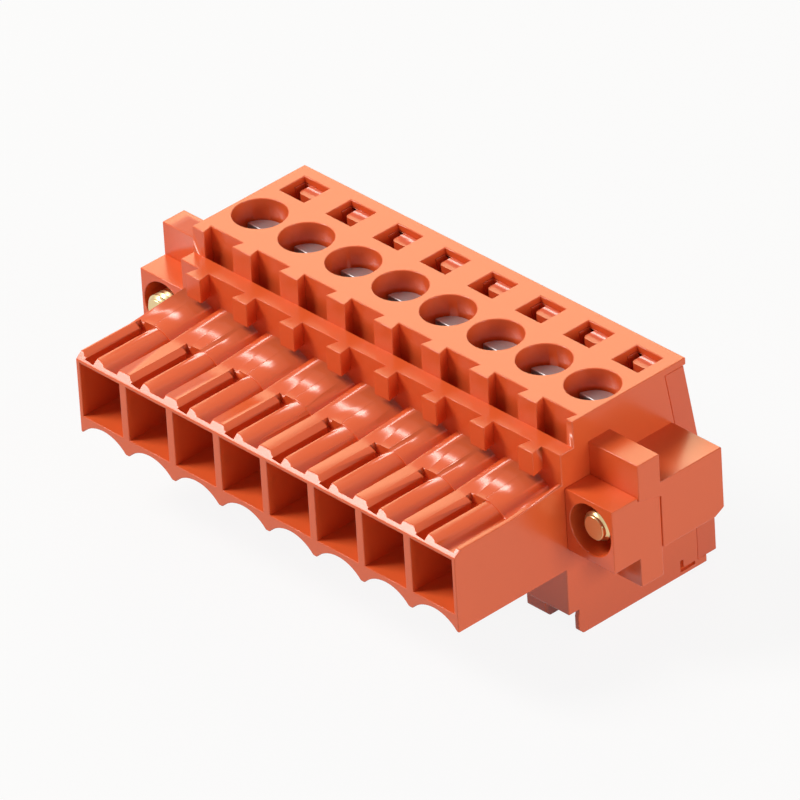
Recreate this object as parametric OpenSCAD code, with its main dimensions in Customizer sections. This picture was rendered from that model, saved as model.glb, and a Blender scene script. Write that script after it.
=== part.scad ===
// Pluggable terminal block: one row of screw clamps in a moulded plug housing,
// with a mating nose in front, a snap-on wire-entry cover behind and a
// captive fixing screw in a flange at each end.
// X runs along the row, Y from the mating face to the wire side, Z upwards.
// Depths are measured from the mating face and heights from the foot rails.

/* [Poles] */
// Number of poles in the row
poles = 8; // [2:1:8]
// Distance between neighbouring pole centres
pitch = 5.08; // [5:0.02:5.3]
// Thickness of the wall between two neighbouring poles in the nose
divider_t = 0.73; // [0.6:0.01:0.85]

/* [Nose] */
// Depth of the nose from the mating face to the ledge
nose_d = 11; // [10.6:0.1:11.6]
// Height of the cusps under the nose above the feet
nose_z = 6.2; // [5.9:0.1:6.6]
// Height of the nose from its cusps to the lands on top
nose_h = 6.95; // [6.8:0.05:7.2]
// Thickness of the nose floor, measured at the cusps
nose_floor = 1.5; // [1.3:0.05:1.6]
// Clear height of a mating chamber
chamber_h = 4.2; // [4.15:0.01:4.25]
// Depth of a mating chamber
chamber_d = 12.4; // [12.2:0.1:12.6]
// Extra height of the chamber mouth at the mating face
mouth_rise = 0.55; // [0.3:0.05:0.6]
// Rise of the concave scallop under each pole
scallop_rise = 1.05; // [0.8:0.05:1.1]
// Width of the flat cusp between two scallops
cusp_w = 0.38; // [0.2:0.02:0.6]
// Height of the lands above the valley floor on top of the nose
valley_drop = 0.85; // [0.8:0.01:0.87]
// Height of the bevel along the nose's front edge
front_bevel_h = 0.5; // [0.4:0.05:0.55]
// Depth of the bevel along the nose's front edge
front_bevel_d = 0.6; // [0.5:0.05:0.7]
// Thickness of the front lip that closes the valleys
lip_t = 0.35; // [0.3:0.05:0.45]
// Depth at which the coding slots start
slot_front = 0.2; // [0.15:0.05:0.25]

/* [Slots and ridges] */
// Width of the flat land over each divider
land_w = 1.15; // [1:0.05:1.3]
// Overhang of the land to the right of the divider's middle
land_right = 0.25; // [0.15:0.05:0.35]
// Width of the narrower land along the right end of the row
end_land_w = 0.45; // [0.4:0.05:0.6]
// Depth at which the lands end and the top begins to rise
land_end = 5.75; // [5.4:0.05:6]
// Width of the sloping step between land and slot
step_w = 0.55; // [0.4:0.05:0.6]
// Drop of the sloping step across its width
step_drop = 0.3; // [0.2:0.05:0.4]
// Width of the coding slot beside each land
slot_w = 0.95; // [0.8:0.05:1.05]
// Depth at which the slots and ridges end
slot_end = 6.4; // [6.2:0.05:6.8]
// Radius of the rounded ridge and of the bump behind it
bump_r = 2.6; // [2.4:0.05:2.9]
// Crest of the bumps above the lands
bump_rise = 0.05; // [0.03:0.01:0.15]
// Slope of the nose top behind the slots, in degrees
top_slope = 5.2; // [4:0.1:6]

/* [Ledge and combs] */
// Height of the ledge above the feet
ledge_z = 16.25; // [16:0.05:16.5]
// Thickness of the ledge wall in front of the pockets
ledge_t = 1.35; // [1.2:0.05:1.5]
// Depth of the pockets between ledge and tower
pocket_d = 0.95; // [0.8:0.05:1.1]
// Height of the pocket floors above the feet
pocket_z = 13.6; // [13.3:0.1:14.2]
// Front width of a dovetail tab on the tower
tower_tab_w = 2.05; // [1.8:0.05:2.3]
// Offset of the tower tabs from the dividers
tower_tab_x = 0.3; // [0.2:0.05:0.4]
// Front width of a dovetail tab on the ledge
ledge_tab_w = 1.6; // [1.4:0.05:1.8]
// Projection of the ledge tabs
ledge_tab_d = 1.15; // [0.9:0.05:1.3]
// Height of the ledge tabs
ledge_tab_h = 2.05; // [1.8:0.05:2.2]
// Narrowing of a tab at its root, on each side
dovetail = 0.25; // [0.15:0.05:0.3]

/* [Tower] */
// Height of the tower top above the feet
tower_z = 18.5; // [18.3:0.1:18.9]
// Depth of the clamp screws behind the mating face
screw_y = 16.95; // [16.9:0.05:17.1]
// Thickness of the top plate's rear lip
top_lip_t = 0.6; // [0.5:0.05:0.7]
// Overhang of the top plate's rear lip behind the cover's seam
top_lip_l = 2.15; // [2.1:0.05:2.3]
// Radius of the screwdriver openings
driver_r = 2.13; // [2.05:0.01:2.2]
// Width of a latch window along the row
window_w = 2.7; // [2.5:0.05:2.9]
// Length of a latch window
window_l = 2.6; // [2.4:0.05:2.7]
// Reach of a latch window behind the cover's seam
window_reach = 1; // [0.9:0.05:1.2]
// Height of the window shafts below the tower top
window_h = 3; // [2.5:0.1:3.4]

/* [Base] */
// Height of the body's underside above the feet
base_z = 2.2; // [2:0.05:2.4]
// Width of a foot rail
rail_w = 2; // [1.7:0.05:2.2]
// Offset of the foot rails from the dividers
rail_x = 0.55; // [0.4:0.05:0.7]
// Depth of the rails' front end
rail_y = 11.95; // [11.8:0.05:12.1]
// Bevel at the foot of the rails' front end
rail_bevel = 0.45; // [0.2:0.05:0.6]
// Height of the undercut above the rails' hooked front end
rail_hook_h = 0.6; // [0.3:0.05:0.8]
// Distance of the rails' rear ends from the cover's outer face
rail_gap = 1; // [0.8:0.05:1.2]
// Width of the L-shaped grooves in the end faces, above the rear foot
groove_w = 0.3; // [0.2:0.05:0.4]
// Depth of those grooves
groove_d = 0.3; // [0.2:0.05:0.4]
// Length of each groove along the foot
groove_l = 1.5; // [1.2:0.1:1.7]
// Height of each groove's upright arm
groove_h = 1; // [0.8:0.05:1.2]

/* [Wire-entry cover] */
// Depth of the cover's outer face at its foot
cover_y = 26.2; // [26:0.05:26.5]
// Thickness of the cover
cover_t = 1.9; // [1.7:0.05:2]
// Lean of the cover from its shoulder to its top
cover_lean = 2.45; // [2.3:0.05:2.6]
// Height of the shoulder where the cover starts to lean
cover_knee_z = 3.3; // [3:0.1:3.5]
// Height of the cover's lower edge above the feet
cover_foot_z = 0.6; // [0.5:0.05:0.8]
// Clear width of a wire entry
wire_w = 4.15; // [4.12:0.01:4.2]
// Clear height of a wire entry
wire_h = 4.2; // [4.15:0.01:4.25]
// Bevel round the mouth of a wire entry
funnel_bevel = 0.3; // [0.2:0.05:0.35]
// Width of a latch tongue
tongue_w = 1.55; // [1.3:0.05:1.7]
// Reach of a latch tongue in front of the cover's top edge
tongue_reach = 0.25; // [0.15:0.05:0.4]
// Rounding of a latch tongue's front corners
tongue_round = 0.35; // [0.2:0.05:0.5]
// Drop of a latch tongue's top below the cover's top
tongue_drop = 0.05; // [0.05:0.05:0.3]

/* [Clamps] */
// Radius of the clamp screw's thread
screw_r = 1.5; // [1.4:0.01:1.5]
// Radius of the clamp screw's head
head_r = 1.9; // [1.85:0.01:1.92]
// Height of the clamp screw's head
head_h = 1.6; // [1.4:0.05:1.7]
// Depth of the screw head's top below the tower top
head_depth = 1.7; // [1.6:0.05:2]
// Width of the screwdriver slots
driver_slot_w = 0.6; // [0.5:0.05:0.8]
// Depth of the screwdriver slots
driver_slot_d = 0.8; // [0.6:0.05:1]
// Clear width of the clamp cavity
cavity_w = 4.4; // [4.35:0.01:4.45]
// Height of the clamp cavity's floor above the feet
cavity_z = 3.6; // [3.5:0.05:3.65]
// Height of the clamp cavity
cavity_h = 10.2; // [9.9:0.1:10.3]
// Sheet thickness of the yoke's sides
yoke_t = 0.45; // [0.4:0.01:0.48]
// Length of the yoke along the wire
yoke_l = 4.4; // [4.2:0.05:4.5]
// Height of the yoke
yoke_h = 7; // [6.9:0.05:7.1]
// Height of the yoke's tapped top
yoke_top_t = 1.3; // [1.1:0.05:1.4]
// Height of the yoke's bottom plate
yoke_bottom_t = 0.8; // [0.7:0.05:0.9]

/* [Contacts] */
// Height of the current bar's underside above the feet
bar_z = 8.4; // [8.3:0.05:8.45]
// Thickness of the current bar
bar_t = 0.8; // [0.7:0.05:0.85]
// Width of the current bar
bar_w = 2.6; // [2.4:0.05:2.7]
// Gap between the bar's free end and the cavity's rear wall
bar_gap = 0.3; // [0.2:0.05:0.6]
// Length of the contact's box in front of the bulkhead
box_l = 3; // [2.6:0.1:3.4]
// Width of the contact's box
contact_w = 3.2; // [3.1:0.05:3.3]
// Height of the contact's box
contact_h = 2.6; // [2.4:0.05:2.7]
// Sheet thickness of the contact
contact_t = 0.4; // [0.35:0.01:0.45]
// Depth of the contact's mouth
contact_y = 4.8; // [4.7:0.05:5.2]
// Gap between the two contact springs at the pinch
pinch_gap = 0.7; // [0.6:0.05:0.8]
// Distance from the contact's mouth to the pinch
pinch_d = 0.9; // [0.7:0.05:1.1]
// Spread of each spring arm at the mouth
arm_flare = 0.5; // [0.3:0.05:0.6]

/* [Flanges] */
// Width of a flange beyond the end pole
flange_w = 5.08; // [5:0.02:5.3]
// Depth of the flange's front face
flange_y = 11.2; // [11.1:0.05:11.3]
// Depth at which the cross fin starts
fin_y = 13.85; // [13.7:0.05:13.9]
// Thickness of the cross fin
fin_t = 2.25; // [2.2:0.05:2.3]
// Height of the fin's top above the feet
fin_z = 16.1; // [15.9:0.05:16.2]
// Height of the fin's lower end above the feet
fin_foot_z = 5.5; // [5.3:0.05:5.8]
// Depth of the flange's rear face
flange_rear_y = 22.35; // [22.2:0.05:22.5]
// Height of the rear block's underside above the feet
block_z = 7.95; // [7.9:0.05:8.1]
// Height of the rear block
block_h = 5.7; // [5.6:0.05:5.8]
// Height of the bevel under the rear block's back edge
block_bevel_h = 0.45; // [0.3:0.05:0.6]
// Depth of the bevel under the rear block's back edge
block_bevel_d = 0.9; // [0.6:0.05:1.1]
// Height of the front block
front_h = 5.35; // [5.3:0.05:5.4]
// Drop of the seam behind the front block, and half its fall across the fin
seam_drop = 0.3; // [0.2:0.05:0.4]
// Step of the outer face between the rear block and the front parts
block_step = 0.12; // [0.05:0.01:0.2]
// Radius of the guide hole in the front block
guide_r = 2.12; // [2.05:0.01:2.15]
// Depth of the guide hole
guide_d = 3.9; // [3.6:0.05:4]

/* [Flange screws] */
// Height of the flange screws above the feet
flange_screw_z = 10.75; // [10.6:0.05:10.85]
// Radius of the flange screw's thread
flange_screw_r = 1.25; // [1.2:0.01:1.3]
// Radius of the flange screw's neck
neck_r = 1; // [0.95:0.01:1.05]
// Reach of the left thread's tip in front of the flange's front face
tip_reach = 0.75; // [0.6:0.05:0.9]
// Travel of a captive flange screw along its bore, used up on the right
screw_float = 1.1; // [1:0.05:1.25]
// Length of the flange screw's thread
thread_l = 3.35; // [3:0.05:3.4]
// Radius of the flange screw's head
flange_head_r = 2.15; // [2:0.01:2.2]
// Height of the flange screw's head
flange_head_h = 1.9; // [1.6:0.05:2]
// Depth of the head's seat behind the mating face
flange_seat_y = 18.9; // [18.7:0.05:19]

/* [Clearances] */
// Radial clearance of a screw in its running bore
running_clr = 0.06; // [0.03:0.01:0.08]
// Radial clearance round a screw head
head_clr = 0.2; // [0.15:0.01:0.25]
// Clearance of a sliding or seated inner part, on each side
seat_clr = 0.05; // [0.03:0.01:0.08]
// Clearance between the yoke's underside and the cavity floor
yoke_clr = 0.2; // [0.15:0.01:0.25]
// Clearance between the yoke and the cavity walls, on each side
yoke_side_clr = 0.15; // [0.12:0.01:0.18]

/* [Hidden] */
$fn = 48;
lap = 0.1;
past = 1;
relief_h = 1.5;
row_w = poles * pitch;
row_x0 = -row_w / 2;
row_x1 = row_w / 2;
chamber_w = pitch - divider_t;
chamber_z = nose_z + nose_floor;
nose_top = nose_z + nose_h;
valley_z = nose_top - valley_drop;
slot_x = land_right + step_w;
ridge_x = slot_x + slot_w;
ledge_rear = nose_d + ledge_t;
recess_y = ledge_rear + pocket_d;
shelf_z = tower_z - top_lip_t;
seam_y = cover_y - cover_t;
seam_top_y = seam_y - cover_lean;
top_rear_y = seam_top_y + top_lip_l;
window_end = seam_top_y + window_reach;
window_y = window_end - window_l;
rail_end = cover_y - rail_gap;
seam_slope = cover_lean / (shelf_z - cover_knee_z);
lean_angle = atan(seam_slope);
window_z = tower_z - window_h;
window_seam_y = seam_top_y + (shelf_z - window_z) * seam_slope;
tongue_z = shelf_z - tongue_drop;
head_z = tower_z - head_depth - head_h;
bar_top = bar_z + bar_t;
cavity_y = screw_y - yoke_l / 2 - yoke_side_clr;
cavity_end = screw_y + yoke_l / 2 + yoke_side_clr;
cavity_top = cavity_z + cavity_h;
bar_end = cavity_end - bar_gap;
yoke_w = cavity_w - 2 * yoke_side_clr;
yoke_y = screw_y - yoke_l / 2;
yoke_z = cavity_z + yoke_clr;
wire_z = yoke_z + yoke_bottom_t - seat_clr;
wire_mid_z = wire_z + wire_h / 2;
flange_x = row_x1 + flange_w / 2;
flange_out = row_x1 + flange_w;
front_out = flange_out - block_step;
fin_end = fin_y + fin_t;
front_z = block_z;
front_top = front_z + front_h;
fin_seam_z = front_top - seam_drop;
fin_seam_rear_z = fin_seam_z - 2 * seam_drop;

// Left wall line and middle of pole i, counted from 0
function wall_x(i) = row_x0 + i * pitch;
function pole_x(i) = wall_x(i) + pitch / 2;

// Left edge of the land over wall i, measured from that wall
function land_left(i) = i == poles ? -end_land_w : land_right - land_w;

// Puts the middle of the footprint at the origin
module in_frame() {
    translate([0, -cover_y / 2, 0]) children();
}

// Extrudes a profile drawn in X and Z along the depth
module along_y(y0, y1) {
    translate([0, y1, 0]) rotate([90, 0, 0]) linear_extrude(y1 - y0) children();
}

// Extrudes a profile drawn in Y and Z along the row
module along_x(x0, x1) {
    translate([x0, 0, 0]) rotate([90, 0, 90]) linear_extrude(x1 - x0) children();
}

// Box given by its lowest and highest corners
module block(lo, hi) {
    translate(lo) cube(hi - lo);
}

// Keeps what lies inside the width of the row
module within_row() {
    intersection() {
        children();
        block([row_x0, -1, -1], [row_x1, cover_y + 1, tower_z + 1]);
    }
}

// Dovetail tab seen from above, wider at its front
module tab_outline(x, w, front, root) {
    polygon([
        [x - w / 2, front],
        [x + w / 2, front],
        [x + w / 2 - dovetail, root],
        [x - w / 2 + dovetail, root]
    ]);
}

// Land and sloping step over the left wall of pole i
module land_profile(i) {
    translate([wall_x(i), nose_top])
        polygon([
            [land_left(i), -valley_drop - lap],
            [land_left(i), 0],
            [land_right, 0],
            [slot_x, -step_drop],
            [slot_x, -valley_drop - lap]
        ]);
}

// Rounded ridge between the slot of pole i and the next land
module ridge_profile(i) {
    translate([wall_x(i) + ridge_x, nose_top])
        intersection() {
            translate([0, -bump_r]) circle(bump_r);
            translate([0, -valley_drop - lap])
                square([pitch - ridge_x + land_left(i + 1), valley_drop + lap]);
        }
}

// Strip that carries the land up to the ledge, drawn from the land level
module strip_profile(i) {
    translate([wall_x(i) + land_left(i), -relief_h])
        square([land_right - land_left(i), relief_h]);
}

// Bump behind the slot of pole i: a flank up from the strip, then a round fall
module bump_profile(i) {
    translate([wall_x(i), 0]) {
        polygon([
            [land_right - lap, -relief_h],
            [land_right - lap, 0],
            [land_right, 0],
            [ridge_x, bump_rise],
            [ridge_x, -relief_h]
        ]);
        intersection() {
            translate([ridge_x, bump_rise - bump_r]) circle(bump_r);
            translate([ridge_x - lap, -relief_h])
                square([pitch - ridge_x + land_left(i + 1) + 2 * lap, relief_h + bump_rise]);
        }
    }
}

// Rising zone of the nose top, from a depth to well inside the ledge
module rising(y0) {
    translate([0, land_end, nose_top])
        rotate([top_slope, 0, 0])
            along_y(y0 - land_end, nose_d - land_end + ledge_t / 2)
                children();
}

module nose_top_relief() {
    within_row() {
        for (i = [0 : poles]) along_y(0, land_end + lap) land_profile(i);
        for (i = [0 : poles]) rising(land_end) strip_profile(i);
        for (i = [0 : poles - 1])
            along_y(0, slot_end + lap / 2) ridge_profile(i);
        for (i = [0 : poles - 1]) rising(slot_end) bump_profile(i);
        rising(slot_end)
            translate([row_x0, -relief_h]) square([row_w, relief_h - valley_drop]);
    }
}

// Nose before its chambers are cut, bevelled along its front edge
module nose_solid() {
    difference() {
        union() {
            block([row_x0, 0, nose_z], [row_x1, nose_d + ledge_t / 2, valley_z]);
            block([row_x0, 0, nose_z], [row_x1, lip_t, nose_top]);
            nose_top_relief();
        }
        along_x(row_x0 - past, row_x1 + past)
            polygon([
                [-lap, nose_top - front_bevel_h - lap * front_bevel_h / front_bevel_d],
                [-lap, nose_top + lap],
                [front_bevel_d, nose_top + lap],
                [front_bevel_d, nose_top]
            ]);
    }
}

// Mating chamber of pole i with its raised mouth, and its coding slot
module chamber(i) {
    x = pole_x(i);
    top = chamber_z + chamber_h;
    block([x - chamber_w / 2, -past, chamber_z], [x + chamber_w / 2, chamber_d, top]);
    along_x(x - chamber_w / 2, x + chamber_w / 2)
        polygon([
            [-past, top - lap],
            [-past, top + mouth_rise],
            [0, top + mouth_rise],
            [mouth_rise, top],
            [mouth_rise, top - lap]
        ]);
    block([wall_x(i) + slot_x, slot_front, top - lap],
          [wall_x(i) + ridge_x, slot_end, tower_z]);
}

// Concave scallop under pole i
module scallop(i) {
    half = (pitch - cusp_w) / 2;
    r = (half * half + scallop_rise * scallop_rise) / (2 * scallop_rise);
    along_y(-past, nose_d)
        translate([pole_x(i), nose_z + scallop_rise - r]) circle(r, $fn = 96);
}

// Main body with ledge and tower, seen from the side
module body_outline() {
    polygon([
        [nose_d, base_z],
        [nose_d, ledge_z],
        [recess_y, ledge_z],
        [recess_y, tower_z],
        [top_rear_y, tower_z],
        [top_rear_y, shelf_z],
        [seam_top_y, shelf_z],
        [seam_y, cover_knee_z],
        [seam_y, base_z]
    ]);
}

module pockets() {
    block([row_x0 - past, ledge_rear, pocket_z], [row_x1 + past, recess_y, tower_z]);
}

module tower_tabs() {
    within_row()
        for (i = [0 : poles])
            translate([0, 0, pocket_z - lap])
                linear_extrude(tower_z - pocket_z + lap)
                    tab_outline(wall_x(i) + tower_tab_x, tower_tab_w,
                                ledge_rear, recess_y + lap);
}

module ledge_tabs() {
    for (i = [0 : poles - 1])
        translate([0, 0, ledge_z - ledge_tab_h])
            linear_extrude(ledge_tab_h)
                tab_outline(pole_x(i), ledge_tab_w,
                            nose_d - ledge_tab_d, nose_d + lap);
}

// Foot rail under each wall, with a hooked front end
module rails() {
    within_row()
        for (i = [0 : poles])
            along_x(wall_x(i) + rail_x - rail_w / 2, wall_x(i) + rail_x + rail_w / 2)
                polygon([
                    [rail_y + lap, base_z + lap],
                    [rail_y + lap, base_z - rail_hook_h / 2],
                    [rail_y, base_z - rail_hook_h],
                    [rail_y, rail_bevel],
                    [rail_y + rail_bevel, 0],
                    [rail_end, 0],
                    [rail_end, cover_foot_z],
                    [seam_y, cover_foot_z],
                    [seam_y, base_z + lap]
                ]);
}

// L-shaped groove in the right end face, just in front of the cover's foot
module foot_groove() {
    rear = seam_y - groove_w;
    along_x(row_x1 - groove_d, row_x1 + past)
        polygon([
            [rear - groove_l, groove_w],
            [rear, groove_w],
            [rear, 2 * groove_w],
            [rear - groove_l + groove_w, 2 * groove_w],
            [rear - groove_l + groove_w, groove_w + groove_h],
            [rear - groove_l, groove_w + groove_h]
        ]);
}

// Rear block and upper fin of the right flange
module flange_solid() {
    top = block_z + block_h;
    along_x(row_x1 - lap, flange_out)
        polygon([
            [fin_end, block_z],
            [fin_end, fin_seam_rear_z],
            [fin_y, fin_seam_z],
            [fin_y, fin_z],
            [fin_end, fin_z],
            [fin_end, top],
            [flange_rear_y, top],
            [flange_rear_y, block_z + block_bevel_h],
            [flange_rear_y - block_bevel_d, block_z]
        ]);
}

// Stepped bore for the right flange screw
module flange_bore() {
    translate([flange_x, 0, flange_screw_z]) {
        along_y(fin_end - past, flange_rear_y + past) circle(neck_r + running_clr);
        along_y(flange_seat_y, flange_rear_y + past) circle(flange_head_r + head_clr);
    }
}

// Clamp cavity, contact slot, screw bores and latch window of pole i
module clamp_space(i) {
    x = pole_x(i);
    block([x - cavity_w / 2, cavity_y, cavity_z],
          [x + cavity_w / 2, cavity_end, cavity_top]);
    block([x - cavity_w / 2, cavity_end - lap, wire_z],
          [x + cavity_w / 2, seam_y + past, wire_z + wire_h]);
    block([x - contact_w / 2 - seat_clr, chamber_d - lap, bar_z],
          [x + contact_w / 2 + seat_clr, cavity_y + lap, bar_z + contact_h + seat_clr]);
    translate([x, screw_y, 0]) {
        translate([0, 0, cavity_top - lap])
            cylinder(r = screw_r + running_clr, h = head_z - cavity_top + 2 * lap);
        translate([0, 0, head_z]) cylinder(r = driver_r, h = tower_z);
    }
    block([x - window_w / 2, window_y, window_z],
          [x + window_w / 2, window_end, tower_z + past]);
}

module housing() {
    color("#e2602c")
        in_frame()
            difference() {
                union() {
                    difference() {
                        nose_solid();
                        for (i = [0 : poles - 1]) chamber(i);
                        for (i = [0 : poles - 1]) scallop(i);
                    }
                    difference() {
                        along_x(row_x0, row_x1) body_outline();
                        pockets();
                        for (i = [0 : poles - 1]) chamber(i);
                    }
                    tower_tabs();
                    ledge_tabs();
                    rails();
                    flange_solid();
                    mirror([1, 0, 0]) flange_solid();
                }
                for (i = [0 : poles - 1]) clamp_space(i);
                for (side = [0, 1])
                    mirror([side, 0, 0]) {
                        flange_bore();
                        foot_groove();
                    }
            }
}

// Cover plate seen from the side
module cover_outline() {
    polygon([
        [seam_y, cover_foot_z],
        [seam_y, cover_knee_z],
        [seam_top_y, shelf_z],
        [seam_top_y + cover_t, shelf_z],
        [cover_y, cover_knee_z],
        [cover_y, cover_foot_z]
    ]);
}

// Outline of a bevelled mouth of width w, drawn across and outwards
module mouth_outline(w) {
    polygon([
        [-w / 2, -funnel_bevel],
        [w / 2, -funnel_bevel],
        [w / 2 + funnel_bevel + lap, lap],
        [-w / 2 - funnel_bevel - lap, lap]
    ]);
}

// Wire entry of pole i: a straight passage with a bevelled mouth
module wire_entry(i) {
    x = pole_x(i);
    block([x - wire_w / 2, seam_top_y, wire_z],
          [x + wire_w / 2, cover_y + past, wire_z + wire_h]);
    translate([x, cover_y - (wire_mid_z - cover_knee_z) * seam_slope, wire_mid_z])
        rotate([lean_angle, 0, 0])
            intersection() {
                translate([0, 0, -wire_h]) linear_extrude(2 * wire_h) mouth_outline(wire_w);
                translate([-wire_w, 0, 0])
                    rotate([0, 90, 0]) linear_extrude(2 * wire_w) mouth_outline(wire_h);
            }
}

// Room in the cover behind the latch window of pole i
module latch_pocket(i) {
    x = pole_x(i);
    block([x - window_w / 2, seam_top_y - past, window_z],
          [x + window_w / 2, window_end, tower_z]);
}

// Latch tongue of pole i, with rounded front corners
module latch_tongue(i) {
    x = pole_x(i);
    front = seam_top_y - tongue_reach;
    inner = tongue_w / 2 - tongue_round;
    translate([x, 0, window_z + seat_clr])
        linear_extrude(tongue_z - window_z - seat_clr) {
            translate([-tongue_w / 2, front + tongue_round])
                square([tongue_w, window_end + lap - front - tongue_round]);
            translate([-inner, front]) square([2 * inner, tongue_round + lap]);
            for (side = [-1, 1])
                translate([side * inner, front + tongue_round]) circle(tongue_round);
        }
    block([x - tongue_w / 2, window_seam_y + lap, window_z - lap],
          [x + tongue_w / 2, window_end + lap, tongue_z]);
}

module rear_cover() {
    color("#d9531f")
        in_frame() {
            difference() {
                along_x(row_x0, row_x1) cover_outline();
                for (i = [0 : poles - 1]) wire_entry(i);
                for (i = [0 : poles - 1]) latch_pocket(i);
            }
            for (i = [0 : poles - 1]) latch_tongue(i);
        }
}

// Right front piece of the flange: it holds the screw by its neck
module retainer() {
    color("#dd5a26")
        in_frame()
            difference() {
                along_x(row_x1, front_out)
                    polygon([
                        [flange_y, front_z],
                        [flange_y, front_top],
                        [fin_y, front_top],
                        [fin_y, fin_seam_z],
                        [fin_end, fin_seam_rear_z],
                        [fin_end, fin_foot_z],
                        [fin_y, fin_foot_z],
                        [fin_y, front_z]
                    ]);
                translate([flange_x, 0, flange_screw_z]) {
                    along_y(flange_y - past, flange_y + guide_d) circle(guide_r);
                    along_y(flange_y, fin_end + past) circle(neck_r + running_clr);
                }
            }
}

module retainer_right() {
    retainer();
}

module retainer_left() {
    mirror([1, 0, 0]) retainer();
}

// Captive flange screw with threaded tip, thin neck and slotted cheese head,
// slid back by a given part of its travel
module flange_screw(side, slid) {
    tip_y = flange_y - tip_reach + slid;
    neck_y = tip_y + thread_l;
    seat_y = flange_seat_y + slid;
    head_y = seat_y + flange_head_h;
    color("#c8a24a")
        in_frame()
            translate([side * flange_x, 0, flange_screw_z])
                difference() {
                    union() {
                        along_y(tip_y, neck_y) circle(flange_screw_r);
                        along_y(neck_y - lap, seat_y + lap) circle(neck_r);
                        along_y(seat_y, head_y) circle(flange_head_r);
                    }
                    block([-flange_head_r - past, head_y - driver_slot_d, -driver_slot_w / 2],
                          [flange_head_r + past, head_y + past, driver_slot_w / 2]);
                }
}

// Clamp screw of pole i, standing on the current bar
module clamp_screw(i) {
    head_top = head_z + head_h;
    color("#8c8f94")
        in_frame()
            translate([pole_x(i), screw_y, 0])
                difference() {
                    union() {
                        translate([0, 0, bar_top])
                            cylinder(r = screw_r, h = head_z - bar_top + lap);
                        translate([0, 0, head_z]) cylinder(r = head_r, h = head_h);
                    }
                    block([-head_r - past, -driver_slot_w / 2, head_top - driver_slot_d],
                          [head_r + past, driver_slot_w / 2, head_top + past]);
                }
}

// Clamping yoke of pole i: a folded steel loop with a tapped top
module clamp_yoke(i) {
    color("#b9bcc0")
        in_frame()
            translate([pole_x(i), 0, yoke_z])
                difference() {
                    block([-yoke_w / 2, yoke_y, 0],
                          [yoke_w / 2, yoke_y + yoke_l, yoke_h]);
                    block([-yoke_w / 2 + yoke_t, yoke_y - past, yoke_bottom_t],
                          [yoke_w / 2 - yoke_t, yoke_y + yoke_l + past, yoke_h - yoke_top_t]);
                    translate([0, screw_y, yoke_h - yoke_top_t - past])
                        cylinder(r = screw_r + running_clr, h = yoke_top_t + 2 * past);
                }
}

// One spring arm of the fork contact, seen from above
module spring_arm_outline(base_y) {
    pinch_y = contact_y + pinch_d;
    polygon([
        [contact_w / 2 - contact_t, base_y],
        [pinch_gap / 2, pinch_y],
        [pinch_gap / 2 + arm_flare, contact_y],
        [pinch_gap / 2 + arm_flare + contact_t, contact_y + lap],
        [pinch_gap / 2 + contact_t, pinch_y + lap / 2],
        [contact_w / 2, base_y]
    ]);
}

// Contact of pole i: fork springs, a box seated in the bulkhead and the bar
module contact(i) {
    base_y = chamber_d - box_l;
    color("#c9cbcd")
        in_frame()
            translate([pole_x(i), 0, bar_z]) {
                difference() {
                    block([-contact_w / 2, base_y, 0],
                          [contact_w / 2, cavity_y - seat_clr, contact_h]);
                    block([-contact_w / 2 + contact_t, base_y - past, contact_t],
                          [contact_w / 2 - contact_t, cavity_y + past, contact_h - contact_t]);
                }
                for (side = [0, 1])
                    mirror([side, 0, 0])
                        translate([0, 0, contact_t])
                            linear_extrude(contact_h - 2 * contact_t)
                                spring_arm_outline(base_y + lap);
                block([-bar_w / 2, chamber_d, 0], [bar_w / 2, bar_end, bar_t]);
            }
}

housing();
rear_cover();
retainer_left();
retainer_right();
flange_screw(-1, 0);  // flange_screw_left
flange_screw(1, screw_float);  // flange_screw_right
for (i = [1 : poles])
    clamp_screw(i - 1);
for (i = [1 : poles])
    clamp_yoke(i - 1);
for (i = [1 : poles])
    contact(i - 1);
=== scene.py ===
"""Pluggable terminal block: moulded finishes, softened edges, screw threads, studio and camera."""
import logging
import math
from dataclasses import dataclass
from enum import Enum

import bmesh
import bpy
from mathutils import Matrix, Vector


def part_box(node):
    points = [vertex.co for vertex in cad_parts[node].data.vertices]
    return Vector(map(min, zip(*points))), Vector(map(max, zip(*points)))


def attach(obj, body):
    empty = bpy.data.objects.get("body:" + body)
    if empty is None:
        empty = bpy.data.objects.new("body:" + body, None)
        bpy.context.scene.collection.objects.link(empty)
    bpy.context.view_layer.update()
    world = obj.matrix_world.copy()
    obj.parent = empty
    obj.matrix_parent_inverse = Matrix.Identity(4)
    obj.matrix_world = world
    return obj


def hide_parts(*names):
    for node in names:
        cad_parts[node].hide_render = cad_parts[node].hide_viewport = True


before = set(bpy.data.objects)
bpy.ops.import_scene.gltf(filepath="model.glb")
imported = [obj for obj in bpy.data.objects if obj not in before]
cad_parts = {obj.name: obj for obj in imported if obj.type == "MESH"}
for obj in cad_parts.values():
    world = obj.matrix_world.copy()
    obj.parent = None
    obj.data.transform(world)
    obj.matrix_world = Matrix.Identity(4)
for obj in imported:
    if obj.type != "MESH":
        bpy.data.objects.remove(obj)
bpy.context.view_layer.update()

LOG = logging.getLogger("terminal_block")

MM = 0.001  # metres in a millimetre
MERGE = 1.0e-6  # vertices closer than this become one, in metres
ON_PLANE = 1.0e-9  # a vertex this close to a cutting plane lies on it, in metres
FLAT = math.radians(0.4)  # faces that meet at less than this become one
ROOM = 2.2  # shortest edge beside a softened one, in widths of the softening


class Side(Enum):
    """End of the row that a flange stands on."""

    LEFT = "left"
    RIGHT = "right"


# ---------------------------------------------------------------- finishes

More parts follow.
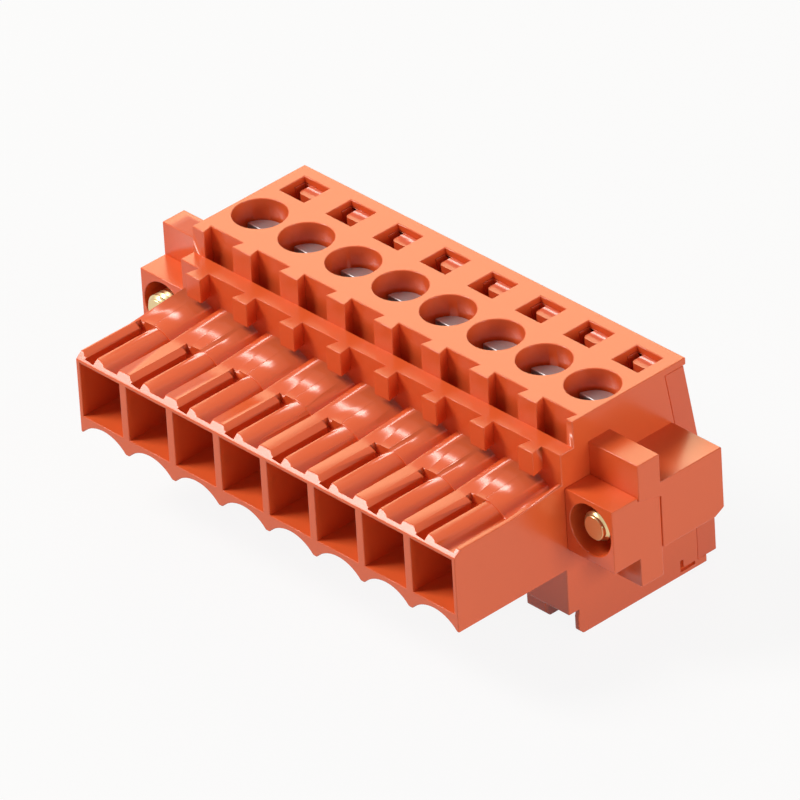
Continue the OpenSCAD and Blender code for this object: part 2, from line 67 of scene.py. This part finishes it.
CLOUD_DETAIL = 3.0
CLOUD_ROUGHNESS = 0.55
CLOUD_RANGE = (0.35, 0.65)  # noise values that give the two tones
GRAIN_DETAIL = 2.0
NOISE_MIDDLE = 0.5  # mean value of the noise
RELIEF = 0.5  # strength of every finish's bump


def socket_links(tree: bpy.types.NodeTree, pairs: list[tuple]) -> None:
    """Links sockets of a node tree.

    Args:
        tree: The tree that holds the nodes.
        pairs: Each is (from socket, to socket).
    """
    for start, end in pairs:
        tree.links.new(start, end)


def surface_group() -> bpy.types.NodeTree:
    """Builds the group that moulded plastic and plated metal share.

    It gives a cloudy tone mask, a fine grain for bump and a roughness that
    varies a little, all in object coordinates.

    Returns:
        The node group.
    """
    name = "moulded_surface"
    if name in bpy.data.node_groups:
        return bpy.data.node_groups[name]
    tree = bpy.data.node_groups.new(name, "ShaderNodeTree")
    face = tree.interface
    for label, kind, value in (
        ("Base Colour", "NodeSocketColor", (0.8, 0.8, 0.8, 1.0)),
        ("Deep Colour", "NodeSocketColor", (0.5, 0.5, 0.5, 1.0)),
        ("Cloud Scale", "NodeSocketFloat", 200.0),
        ("Grain Scale", "NodeSocketFloat", 6000.0),
        ("Roughness", "NodeSocketFloat", 0.4),
        ("Roughness Spread", "NodeSocketFloat", 0.05),
    ):
        socket = face.new_socket(name=label, in_out="INPUT", socket_type=kind)
        socket.default_value = value
    for label, kind in (
        ("Colour", "NodeSocketColor"),
        ("Roughness", "NodeSocketFloat"),
        ("Grain", "NodeSocketFloat"),
    ):
        face.new_socket(name=label, in_out="OUTPUT", socket_type=kind)
    add = tree.nodes.new
    entry = add("NodeGroupInput")
    leave = add("NodeGroupOutput")
    where = add("ShaderNodeTexCoord")
    cloud = add("ShaderNodeTexNoise")
    cloud.inputs["Detail"].default_value = CLOUD_DETAIL
    cloud.inputs["Roughness"].default_value = CLOUD_ROUGHNESS
    grain = add("ShaderNodeTexNoise")
    grain.inputs["Detail"].default_value = GRAIN_DETAIL
    curve = add("ShaderNodeMapRange")
    curve.inputs["From Min"].default_value = CLOUD_RANGE[0]
    curve.inputs["From Max"].default_value = CLOUD_RANGE[1]
    tone = add("ShaderNodeMix")
    tone.data_type = "RGBA"
    spread = add("ShaderNodeMath")
    spread.operation = "MULTIPLY_ADD"
    centre = add("ShaderNodeMath")
    centre.operation = "SUBTRACT"
    centre.inputs[1].default_value = NOISE_MIDDLE
    socket_links(tree, [
        (where.outputs["Object"], cloud.inputs["Vector"]),
        (where.outputs["Object"], grain.inputs["Vector"]),
        (entry.outputs["Cloud Scale"], cloud.inputs["Scale"]),
        (entry.outputs["Grain Scale"], grain.inputs["Scale"]),
        (cloud.outputs["Fac"], curve.inputs["Value"]),
        (curve.outputs["Result"], tone.inputs["Factor"]),
        (entry.outputs["Base Colour"], tone.inputs["A"]),
        (entry.outputs["Deep Colour"], tone.inputs["B"]),
        (grain.outputs["Fac"], centre.inputs[0]),
        (centre.outputs["Value"], spread.inputs[0]),
        (entry.outputs["Roughness Spread"], spread.inputs[1]),
        (entry.outputs["Roughness"], spread.inputs[2]),
        (tone.outputs["Result"], leave.inputs["Colour"]),
        (spread.outputs["Value"], leave.inputs["Roughness"]),
        (grain.outputs["Fac"], leave.inputs["Grain"]),
    ])
    return tree


@dataclass(frozen=True)
class Finish:
    """A finish made of the shared surface group and one shader.

    Attributes:
        name: Name of the material.
        colour: Main colour, linear.
        deep: Colour of the darker clouds, linear.
        roughness: Middle roughness.
        spread: How far the grain moves the roughness.
        cloud: Scale of the clouds, per metre.
        grain: Scale of the grain, per metre.
        bump: Height of the grain, in metres.
        metallic: 1 for metal.
        specular: Strength of the plain reflection, 0.5 for common plastic.
    """

    name: str
    colour: tuple[float, float, float]
    deep: tuple[float, float, float]
    roughness: float
    spread: float = 0.06
    cloud: float = 260.0
    grain: float = 9000.0
    bump: float = 2.0e-6
    metallic: float = 0.0
    specular: float = 0.5

    def material(self) -> bpy.types.Material:
        """Builds the material once and returns it."""
        if self.name in bpy.data.materials:
            return bpy.data.materials[self.name]
        made = bpy.data.materials.new(self.name)
        made.use_nodes = True
        tree = made.node_tree
        shader = tree.nodes["Principled BSDF"]
        surface = tree.nodes.new("ShaderNodeGroup")
        surface.node_tree = surface_group()
        surface.inputs["Base Colour"].default_value = (*self.colour, 1.0)
        surface.inputs["Deep Colour"].default_value = (*self.deep, 1.0)
        surface.inputs["Cloud Scale"].default_value = self.cloud
        surface.inputs["Grain Scale"].default_value = self.grain
        surface.inputs["Roughness"].default_value = self.roughness
        surface.inputs["Roughness Spread"].default_value = self.spread
        relief = tree.nodes.new("ShaderNodeBump")
        relief.inputs["Strength"].default_value = RELIEF
        relief.inputs["Distance"].default_value = self.bump
        shader.inputs["Metallic"].default_value = self.metallic
        shader.inputs["Specular IOR Level"].default_value = self.specular
        socket_links(tree, [
            (surface.outputs["Colour"], shader.inputs["Base Color"]),
            (surface.outputs["Roughness"], shader.inputs["Roughness"]),
            (surface.outputs["Grain"], relief.inputs["Height"]),
            (relief.outputs["Normal"], shader.inputs["Normal"]),
        ])
        return made


HOUSING_PLASTIC = Finish(
    "housing_plastic", (0.70, 0.070, 0.010), (0.66, 0.060, 0.009), 0.42, specular=0.18)
COVER_PLASTIC = Finish(
    "cover_plastic", (0.68, 0.066, 0.010), (0.64, 0.056, 0.009), 0.44, specular=0.18)
RETAINER_PLASTIC = Finish(
    "retainer_plastic", (0.71, 0.073, 0.010), (0.67, 0.062, 0.009), 0.40, specular=0.18)
BRASS = Finish(
    "flange_screw_brass", (0.86, 0.74, 0.42), (0.70, 0.56, 0.28), 0.16,
    spread=0.1, cloud=900.0, grain=20000.0, bump=1.0e-6, metallic=1.0)
# Clamp screw heads: dark steel, partly the screws' own dark finish and partly painted shade,
# darkened to stand for the shade deep in the screw holes.
DARK_STEEL_AND_PAINTED_SHADE = Finish(
    "clamp_screw_steel", (0.16, 0.16, 0.17), (0.09, 0.09, 0.10), 0.30,
    spread=0.12, cloud=900.0, grain=20000.0, bump=1.0e-6, metallic=1.0)
YOKE_STEEL = Finish(
    "yoke_steel", (0.62, 0.63, 0.65), (0.52, 0.53, 0.55), 0.32,
    spread=0.1, cloud=700.0, grain=16000.0, bump=1.0e-6, metallic=1.0)
CONTACT_TIN = Finish(
    "contact_tin", (0.72, 0.72, 0.70), (0.62, 0.62, 0.60), 0.34,
    spread=0.1, cloud=700.0, grain=16000.0, bump=1.0e-6, metallic=1.0)


# ---------------------------------------------------------------- mesh help


def node_copy(name: str) -> bmesh.types.BMesh:
    """Copies a CAD node's mesh and merges it into clean faces.

    Args:
        name: Name of the node.

    Returns:
        A bmesh of the node with its doubles merged and flat faces joined.
    """
    shape = bmesh.new()
    shape.from_mesh(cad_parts[name].data)
    bmesh.ops.remove_doubles(shape, verts=shape.verts, dist=MERGE)
    bmesh.ops.dissolve_limit(
        shape, angle_limit=FLAT, use_dissolve_boundaries=False,
        verts=shape.verts, edges=shape.edges, delimit=set())
    return shape


def soften(shape: bmesh.types.BMesh, width: float, sharp: float = 28.0,
           segments: int = 2) -> None:
    """Bevels the outer edges that have room for it.

    Args:
        shape: The bmesh to bevel.
        width: Width of the bevel, in metres.
        sharp: Smallest angle between two faces that counts, in degrees.
        segments: Number of faces across the bevel.
    """
    limit = math.radians(sharp)
    room = ROOM * width
    crowded = {
        vert for vert in shape.verts
        if any(edge.calc_length() < room for edge in vert.link_edges)
    }
    chosen = [
        edge for edge in shape.edges
        if len(edge.link_faces) == 2 and edge.is_convex
        and edge.calc_face_angle(0.0) > limit
        and edge.verts[0] not in crowded and edge.verts[1] not in crowded
    ]
    bmesh.ops.bevel(
        shape, geom=chosen, offset=width, offset_type="OFFSET", segments=segments,
        profile=0.5, affect="EDGES", clamp_overlap=False, material=-1,
        loop_slide=True, miter_outer="SHARP", miter_inner="SHARP")


def as_piece(shape: bmesh.types.BMesh, name: str, body: str, finish: Finish,
             smooth: float = 38.0) -> bpy.types.Object:
    """Turns a bmesh into a finished piece on a body.

    Args:
        shape: The bmesh, in the row frame; it is freed.
        name: Name of the piece.
        body: Body that it rides on.
        finish: Finish that it wears.
        smooth: Angle under which faces shade as one, in degrees.

    Returns:
        The new object.
    """
    mesh = bpy.data.meshes.new(name)
    shape.to_mesh(mesh)
    shape.free()
    for polygon in mesh.polygons:
        polygon.use_smooth = True
    mesh.set_sharp_from_angle(angle=math.radians(smooth))
    piece = bpy.data.objects.new(name, mesh)
    bpy.context.scene.collection.objects.link(piece)
    mesh.materials.append(finish.material())
    even = piece.modifiers.new("even_faces", "WEIGHTED_NORMAL")
    even.mode = "FACE_AREA"
    even.weight = 90
    even.keep_sharp = True
    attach(piece, body)
    LOG.info("%s: %d faces", name, len(mesh.polygons))
    return piece


def softened_copy(node: str, name: str, body: str, finish: Finish,
                  width: float) -> bpy.types.Object:
    """Replaces a CAD node by a copy of it with softened edges.

    The copy is kept inside the node's own box, so the overall size stays.

    Args:
        node: Name of the node.
        name: Name of the new piece.
        body: Body that the node belongs to.
        finish: Finish that the piece wears.
        width: Width of the softened edges, in metres.

    Returns:
        The new object.
    """
    shape = node_copy(node)
    soften(shape, width)
    low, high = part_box(node)
    for vert in shape.verts:
        vert.co = [
            min(max(place, least), most)
            for place, least, most in zip(vert.co, low, high)]
    piece = as_piece(shape, name, body, finish)
    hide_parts(node)
    return piece


# ---------------------------------------------------------------- sub-assemblies


@dataclass
class Mouldings:
    """The housing, its snap-on cover and the two screw retainers.

    Attributes:
        edge: Width of the softened edges of housing and retainers.
        small_edge: Width of the softened edges of the thinner cover.
    """

    edge: float = 0.08 * MM
    small_edge: float = 0.06 * MM

    def build(self) -> None:
        """Replaces every moulding by one with softened edges."""
        softened_copy("housing", "housing_moulding", "base", HOUSING_PLASTIC, self.edge)
        softened_copy(
            "rear_cover", "rear_cover_moulding", "base", COVER_PLASTIC, self.small_edge)
        for side in Side:
            softened_copy(
                f"retainer_{side.value}", f"retainer_{side.value}_moulding", "base",
                RETAINER_PLASTIC, self.edge)


@dataclass
class Clamps:
    """Clamp screws, yokes and contacts of all poles.

    Attributes:
        poles: Number of poles in the row.
        head_edge: Width of the screws' softened edges.
        yoke_edge: Width of the yokes' softened edges.
        sheet_edge: Width of the contacts' softened edges.
    """

    poles: int = 8
    head_edge: float = 0.09 * MM
    yoke_edge: float = 0.08 * MM
    sheet_edge: float = 0.04 * MM

    def pole(self, number: int) -> None:
        """Builds the three metal parts of one pole.

        Args:
            number: Number of the pole, counted from 1.
        """
        softened_copy(
            f"clamp_screw_{number}", f"clamp_screw_{number}_turned",
            f"clamp_screw_{number}", DARK_STEEL_AND_PAINTED_SHADE, self.head_edge)
        softened_copy(
            f"clamp_yoke_{number}", f"clamp_yoke_{number}_folded",
            f"clamp_yoke_{number}", YOKE_STEEL, self.yoke_edge)
        softened_copy(
            f"contact_{number}", f"contact_{number}_stamped", "base", CONTACT_TIN,
            self.sheet_edge)

    def build(self) -> None:
        """Builds every pole."""
        for number in range(1, self.poles + 1):
            self.pole(number)


@dataclass
class FlangeScrews:
    """The two captive fixing screws, with a real thread at the tip.

    Attributes:
        radius: Radius over the thread.
        pitch: Advance of the thread in one turn.
        depth: Depth of the thread.
        length: Length of the threaded end.
        chamfer: Length and depth of the chamfer at the tip.
        edge: Width of the softened edges.
        seam: Gap between the threaded end and the shank.
        foot: Share of the pitch at which the ridge starts to rise.
        crest: Shares of the pitch between which the ridge is full.
        heel: Share of the pitch at which the ridge is down again.
        steps: Number of faces round one turn.
        spare_turns: Turns beyond the length, trimmed off at both ends.
    """

    radius: float = 1.25 * MM
    pitch: float = 0.45 * MM
    depth: float = 0.26 * MM
    length: float = 3.35 * MM
    chamfer: float = 0.32 * MM
    edge: float = 0.12 * MM
    seam: float = 0.02 * MM
    foot: float = 0.12
    crest: tuple[float, float] = (0.46, 0.58)
    heel: float = 0.94
    steps: int = 48
    spare_turns: int = 3

    def ridge(self, shape: bmesh.types.BMesh, middle: Vector, tip: float) -> None:
        """Sweeps one turn's profile along the helix.

        Args:
            shape: Empty bmesh that receives the thread.
            middle: A point on the screw's axis.
            tip: Depth of the thread's tip.
        """
        turns = math.ceil(self.length / self.pitch) + self.spare_turns
        start = tip - self.spare_turns / 2.0 * self.pitch
        root = self.radius - self.depth
        profile = (
            (root, 0.0), (root, self.foot), (self.radius, self.crest[0]),
            (self.radius, self.crest[1]), (root, self.heel), (root, 1.0))
        points = [
            shape.verts.new((middle.x + reach, start + share * self.pitch, middle.z))
            for reach, share in profile]
        edges = [shape.edges.new(pair) for pair in zip(points, points[1:])]
        bmesh.ops.spin(
            shape, geom=points + edges, cent=middle, axis=(0.0, 1.0, 0.0),
            dvec=(0.0, self.pitch / self.steps, 0.0), angle=2.0 * math.pi * turns,
            steps=self.steps * turns, use_merge=False, use_duplicate=False)
        bmesh.ops.remove_doubles(shape, verts=shape.verts, dist=MERGE)

    def cut(self, shape: bmesh.types.BMesh, depth: float, keep_behind: bool) -> None:
        """Cuts a screw square at a depth, drops one side and closes the cut.

        Args:
            shape: The bmesh to cut.
            depth: Depth of the cut.
            keep_behind: Whether the side with the greater depth stays.
        """
        found = bmesh.ops.bisect_plane(
            shape, geom=shape.verts[:] + shape.edges[:] + shape.faces[:], dist=ON_PLANE,
            plane_co=(0.0, depth, 0.0), plane_no=(0.0, 1.0, 0.0),
            clear_inner=keep_behind, clear_outer=not keep_behind)
        rim = [e for e in found["geom_cut"] if isinstance(e, bmesh.types.BMEdge)]
        bmesh.ops.holes_fill(shape, edges=rim, sides=0)

    def thread(self, middle: Vector, tip: float) -> bmesh.types.BMesh:
        """Builds the closed threaded end with its chamfered tip.

        Args:
            middle: A point on the screw's axis.
            tip: Depth of the thread's tip.

        Returns:
            The bmesh of the threaded end.
        """
        shape = bmesh.new()
        self.ridge(shape, middle, tip)
        everything = shape.verts[:] + shape.edges[:] + shape.faces[:]
        bmesh.ops.bisect_plane(
            shape, geom=everything, dist=ON_PLANE, plane_co=(0.0, tip + self.chamfer, 0.0),
            plane_no=(0.0, 1.0, 0.0))
        self.cut(shape, tip, True)
        self.cut(shape, tip + self.length, False)
        for vert in shape.verts:
            arm = Vector((vert.co.x - middle.x, 0.0, vert.co.z - middle.z))
            most = self.radius - max(0.0, self.chamfer - (vert.co.y - tip))
            if arm.length > most:
                arm *= 1.0 - most / arm.length
                vert.co -= arm
        bmesh.ops.recalc_face_normals(shape, faces=shape.faces)
        return shape

    def screw(self, side: Side) -> None:
        """Builds one screw from the CAD neck and head and the new thread.

        Args:
            side: End of the row that it stands on.
        """
        node = f"flange_screw_{side.value}"
        low, high = (Vector(corner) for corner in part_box(node))
        middle = Vector(((low.x + high.x) / 2.0, 0.0, (low.z + high.z) / 2.0))
        tip = low.y
        shank = node_copy(node)
        self.cut(shank, tip + self.length + self.seam, True)
        soften(shank, self.edge)
        end = self.thread(middle, tip)
        spare = bpy.data.meshes.new("thread")
        end.to_mesh(spare)
        end.free()
        shank.from_mesh(spare)
        bpy.data.meshes.remove(spare)
        piece = as_piece(shank, f"{node}_turned", node, BRASS)
        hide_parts(node)

    def build(self) -> None:
        """Builds both screws."""
        for side in Side:
            self.screw(side)


# ---------------------------------------------------------------- studio


@dataclass
class Studio:
    """Floor, lamps, world and camera.

    Attributes:
        aim: Point that the camera looks at before it slides, in millimetres.
        azimuth: Turn of the camera about the upright axis, in degrees.
        elevation: Height of the camera over the horizon, in degrees.
        roll: Turn of the camera about its own axis, in degrees.
        distance: Distance from the aim, in millimetres.
        lens: Focal length, in millimetres.
        sensor: Width of the sensor, in millimetres.
        clip: Nearest and farthest distance that is drawn, in metres.
        slide_right: Slide of camera and aim to the right, in millimetres.
        slide_up: Slide of camera and aim upward, in millimetres.
        lamp_aim: Point that every lamp faces, in metres.
        floor_size: Half of the floor's side, in metres.
        floor_colour: Colour of the floor under the lamps, linear.
        floor_roughness: Roughness of the floor.
        floor_glow: Share of plain white in the floor as the camera sees it.
        sky_colour: Colour of the even light, linear.
        sky_strength: Strength of the even light.
        backdrop: Brightness of the white that the camera sees.
    """

    aim: tuple[float, float, float] = (0.0, -1.1, 13.2)
    azimuth: float = 48.12
    elevation: float = 32.68
    roll: float = -3.58
    distance: float = 943.6
    lens: float = 574.1
    sensor: float = 36.0
    clip: tuple[float, float] = (0.01, 20.0)
    slide_right: float = 1.494
    slide_up: float = -1.102
    lamp_aim: tuple[float, float, float] = (0.0, 0.0, 0.01)
    floor_size: float = 3.0
    floor_colour: tuple[float, float, float] = (0.6, 0.6, 0.6)
    floor_roughness: float = 0.9
    floor_glow: float = 0.9
    sky_colour: tuple[float, float, float] = (1.0, 0.88, 0.82)
    sky_strength: float = 0.2
    backdrop: float = 1.0

    def camera(self) -> None:
        """Places the camera without any lens shift."""
        turn = math.radians(self.azimuth)
        rise = math.radians(self.elevation)
        roll = math.radians(self.roll)
        back = Vector((
            math.sin(turn) * math.cos(rise), -math.cos(turn) * math.cos(rise),
            math.sin(rise)))
        level = Vector((math.cos(turn), math.sin(turn), 0.0))
        upright = back.cross(level)
        right = math.cos(roll) * level + math.sin(roll) * upright
        up = -math.sin(roll) * level + math.cos(roll) * upright
        centre = Vector(self.aim) + self.slide_right * right + self.slide_up * up
        place = (centre + self.distance * back) * MM
        lens = bpy.data.cameras.new("camera")
        lens.lens = self.lens
        lens.sensor_width = self.sensor
        lens.clip_start, lens.clip_end = self.clip
        view = bpy.data.objects.new("camera", lens)
        axes = Matrix((right, up, back)).transposed().to_4x4()
        view.matrix_world = Matrix.Translation(place) @ axes
        bpy.context.scene.collection.objects.link(view)
        bpy.context.scene.camera = view

    def lamp(self, name: str, place: tuple[float, float, float], size: float,
             power: float, tint: tuple[float, float, float] = (1.0, 1.0, 1.0)) -> None:
        """Adds a square soft light that faces the object.

        Args:
            name: Name of the lamp.
            place: Where it stands, in metres.
            size: Length of its side, in metres.
            power: Its power in watts.
            tint: Its colour.
        """
        light = bpy.data.lights.new(name, "AREA")
        light.shape = "SQUARE"
        light.size = size
        light.energy = power
        light.color = tint
        lamp = bpy.data.objects.new(name, light)
        lamp.location = place
        away = Vector(place) - Vector(self.lamp_aim)
        lamp.rotation_euler = away.to_track_quat("Z", "Y").to_euler()
        bpy.context.scene.collection.objects.link(lamp)

    @staticmethod
    def seen(tree: bpy.types.NodeTree) -> bpy.types.NodeSocket:
        """Adds a mask of the rays that see the backdrop itself.

        Args:
            tree: Node tree that receives the nodes.

        Returns:
            A socket that is 1 for camera, glossy and transmission rays.
        """
        rays = tree.nodes.new("ShaderNodeLightPath")
        first = tree.nodes.new("ShaderNodeMath")
        first.operation = "MAXIMUM"
        second = tree.nodes.new("ShaderNodeMath")
        second.operation = "MAXIMUM"
        socket_links(tree, [
            (rays.outputs["Is Camera Ray"], first.inputs[0]),
            (rays.outputs["Is Glossy Ray"], first.inputs[1]),
            (first.outputs["Value"], second.inputs[0]),
            (rays.outputs["Is Transmission Ray"], second.inputs[1]),
        ])
        return second.outputs["Value"]

    def floor(self) -> None:
        """Adds the pale floor that shows white and keeps the object's shadow."""
        shape = bmesh.new()
        bmesh.ops.create_grid(shape, x_segments=1, y_segments=1, size=self.floor_size)
        mesh = bpy.data.meshes.new("floor")
        shape.to_mesh(mesh)
        shape.free()
        ground = bpy.data.objects.new("floor", mesh)
        bpy.context.scene.collection.objects.link(ground)
        made = bpy.data.materials.new("floor_white")
        made.use_nodes = True
        tree = made.node_tree
        shader = tree.nodes["Principled BSDF"]
        shader.inputs["Base Color"].default_value = (*self.floor_colour, 1.0)
        shader.inputs["Roughness"].default_value = self.floor_roughness
        glow = tree.nodes.new("ShaderNodeEmission")
        glow.inputs["Strength"].default_value = self.backdrop
        both = tree.nodes.new("ShaderNodeMixShader")
        share = tree.nodes.new("ShaderNodeMath")
        share.operation = "MULTIPLY"
        share.inputs[1].default_value = self.floor_glow
        out = tree.nodes["Material Output"]
        socket_links(tree, [
            (self.seen(tree), share.inputs[0]),
            (share.outputs["Value"], both.inputs[0]),
            (shader.outputs["BSDF"], both.inputs[1]),
            (glow.outputs["Emission"], both.inputs[2]),
            (both.outputs["Shader"], out.inputs["Surface"]),
        ])
        mesh.materials.append(made)

    def world(self) -> None:
        """Sets a white backdrop and a weaker even light."""
        sky = bpy.data.worlds.new("studio")
        sky.use_nodes = True
        tree = sky.node_tree
        tree.nodes.clear()
        light = tree.nodes.new("ShaderNodeBackground")
        light.inputs["Color"].default_value = (*self.sky_colour, 1.0)
        light.inputs["Strength"].default_value = self.sky_strength
        white = tree.nodes.new("ShaderNodeBackground")
        white.inputs["Strength"].default_value = self.backdrop
        both = tree.nodes.new("ShaderNodeMixShader")
        out = tree.nodes.new("ShaderNodeOutputWorld")
        socket_links(tree, [
            (self.seen(tree), both.inputs[0]),
            (light.outputs["Background"], both.inputs[1]),
            (white.outputs["Background"], both.inputs[2]),
            (both.outputs["Shader"], out.inputs["Surface"]),
        ])
        bpy.context.scene.world = sky

    def build(self) -> None:
        """Builds the whole studio."""
        bpy.context.scene.view_settings.view_transform = "Standard"
        self.camera()
        self.floor()
        self.world()
        self.lamp(
            "key", place=(-0.45, -0.38, 0.68), size=0.35, power=7.5, tint=(1.0, 0.95, 0.90))
        self.lamp(
            "sheen", place=(-0.55, 0.60, 0.45), size=0.45, power=2.0, tint=(1.0, 0.92, 0.50))
        self.lamp("fill", place=(0.86, 0.10, 0.12), size=0.45, power=4.5)


def main() -> None:
    """Builds the sub-assemblies in order, then the studio."""
    logging.basicConfig(level=logging.INFO, format="%(message)s")
    Mouldings().build()
    Clamps().build()
    FlangeScrews().build()
    Studio().build()


if __name__ == "__main__":
    main()
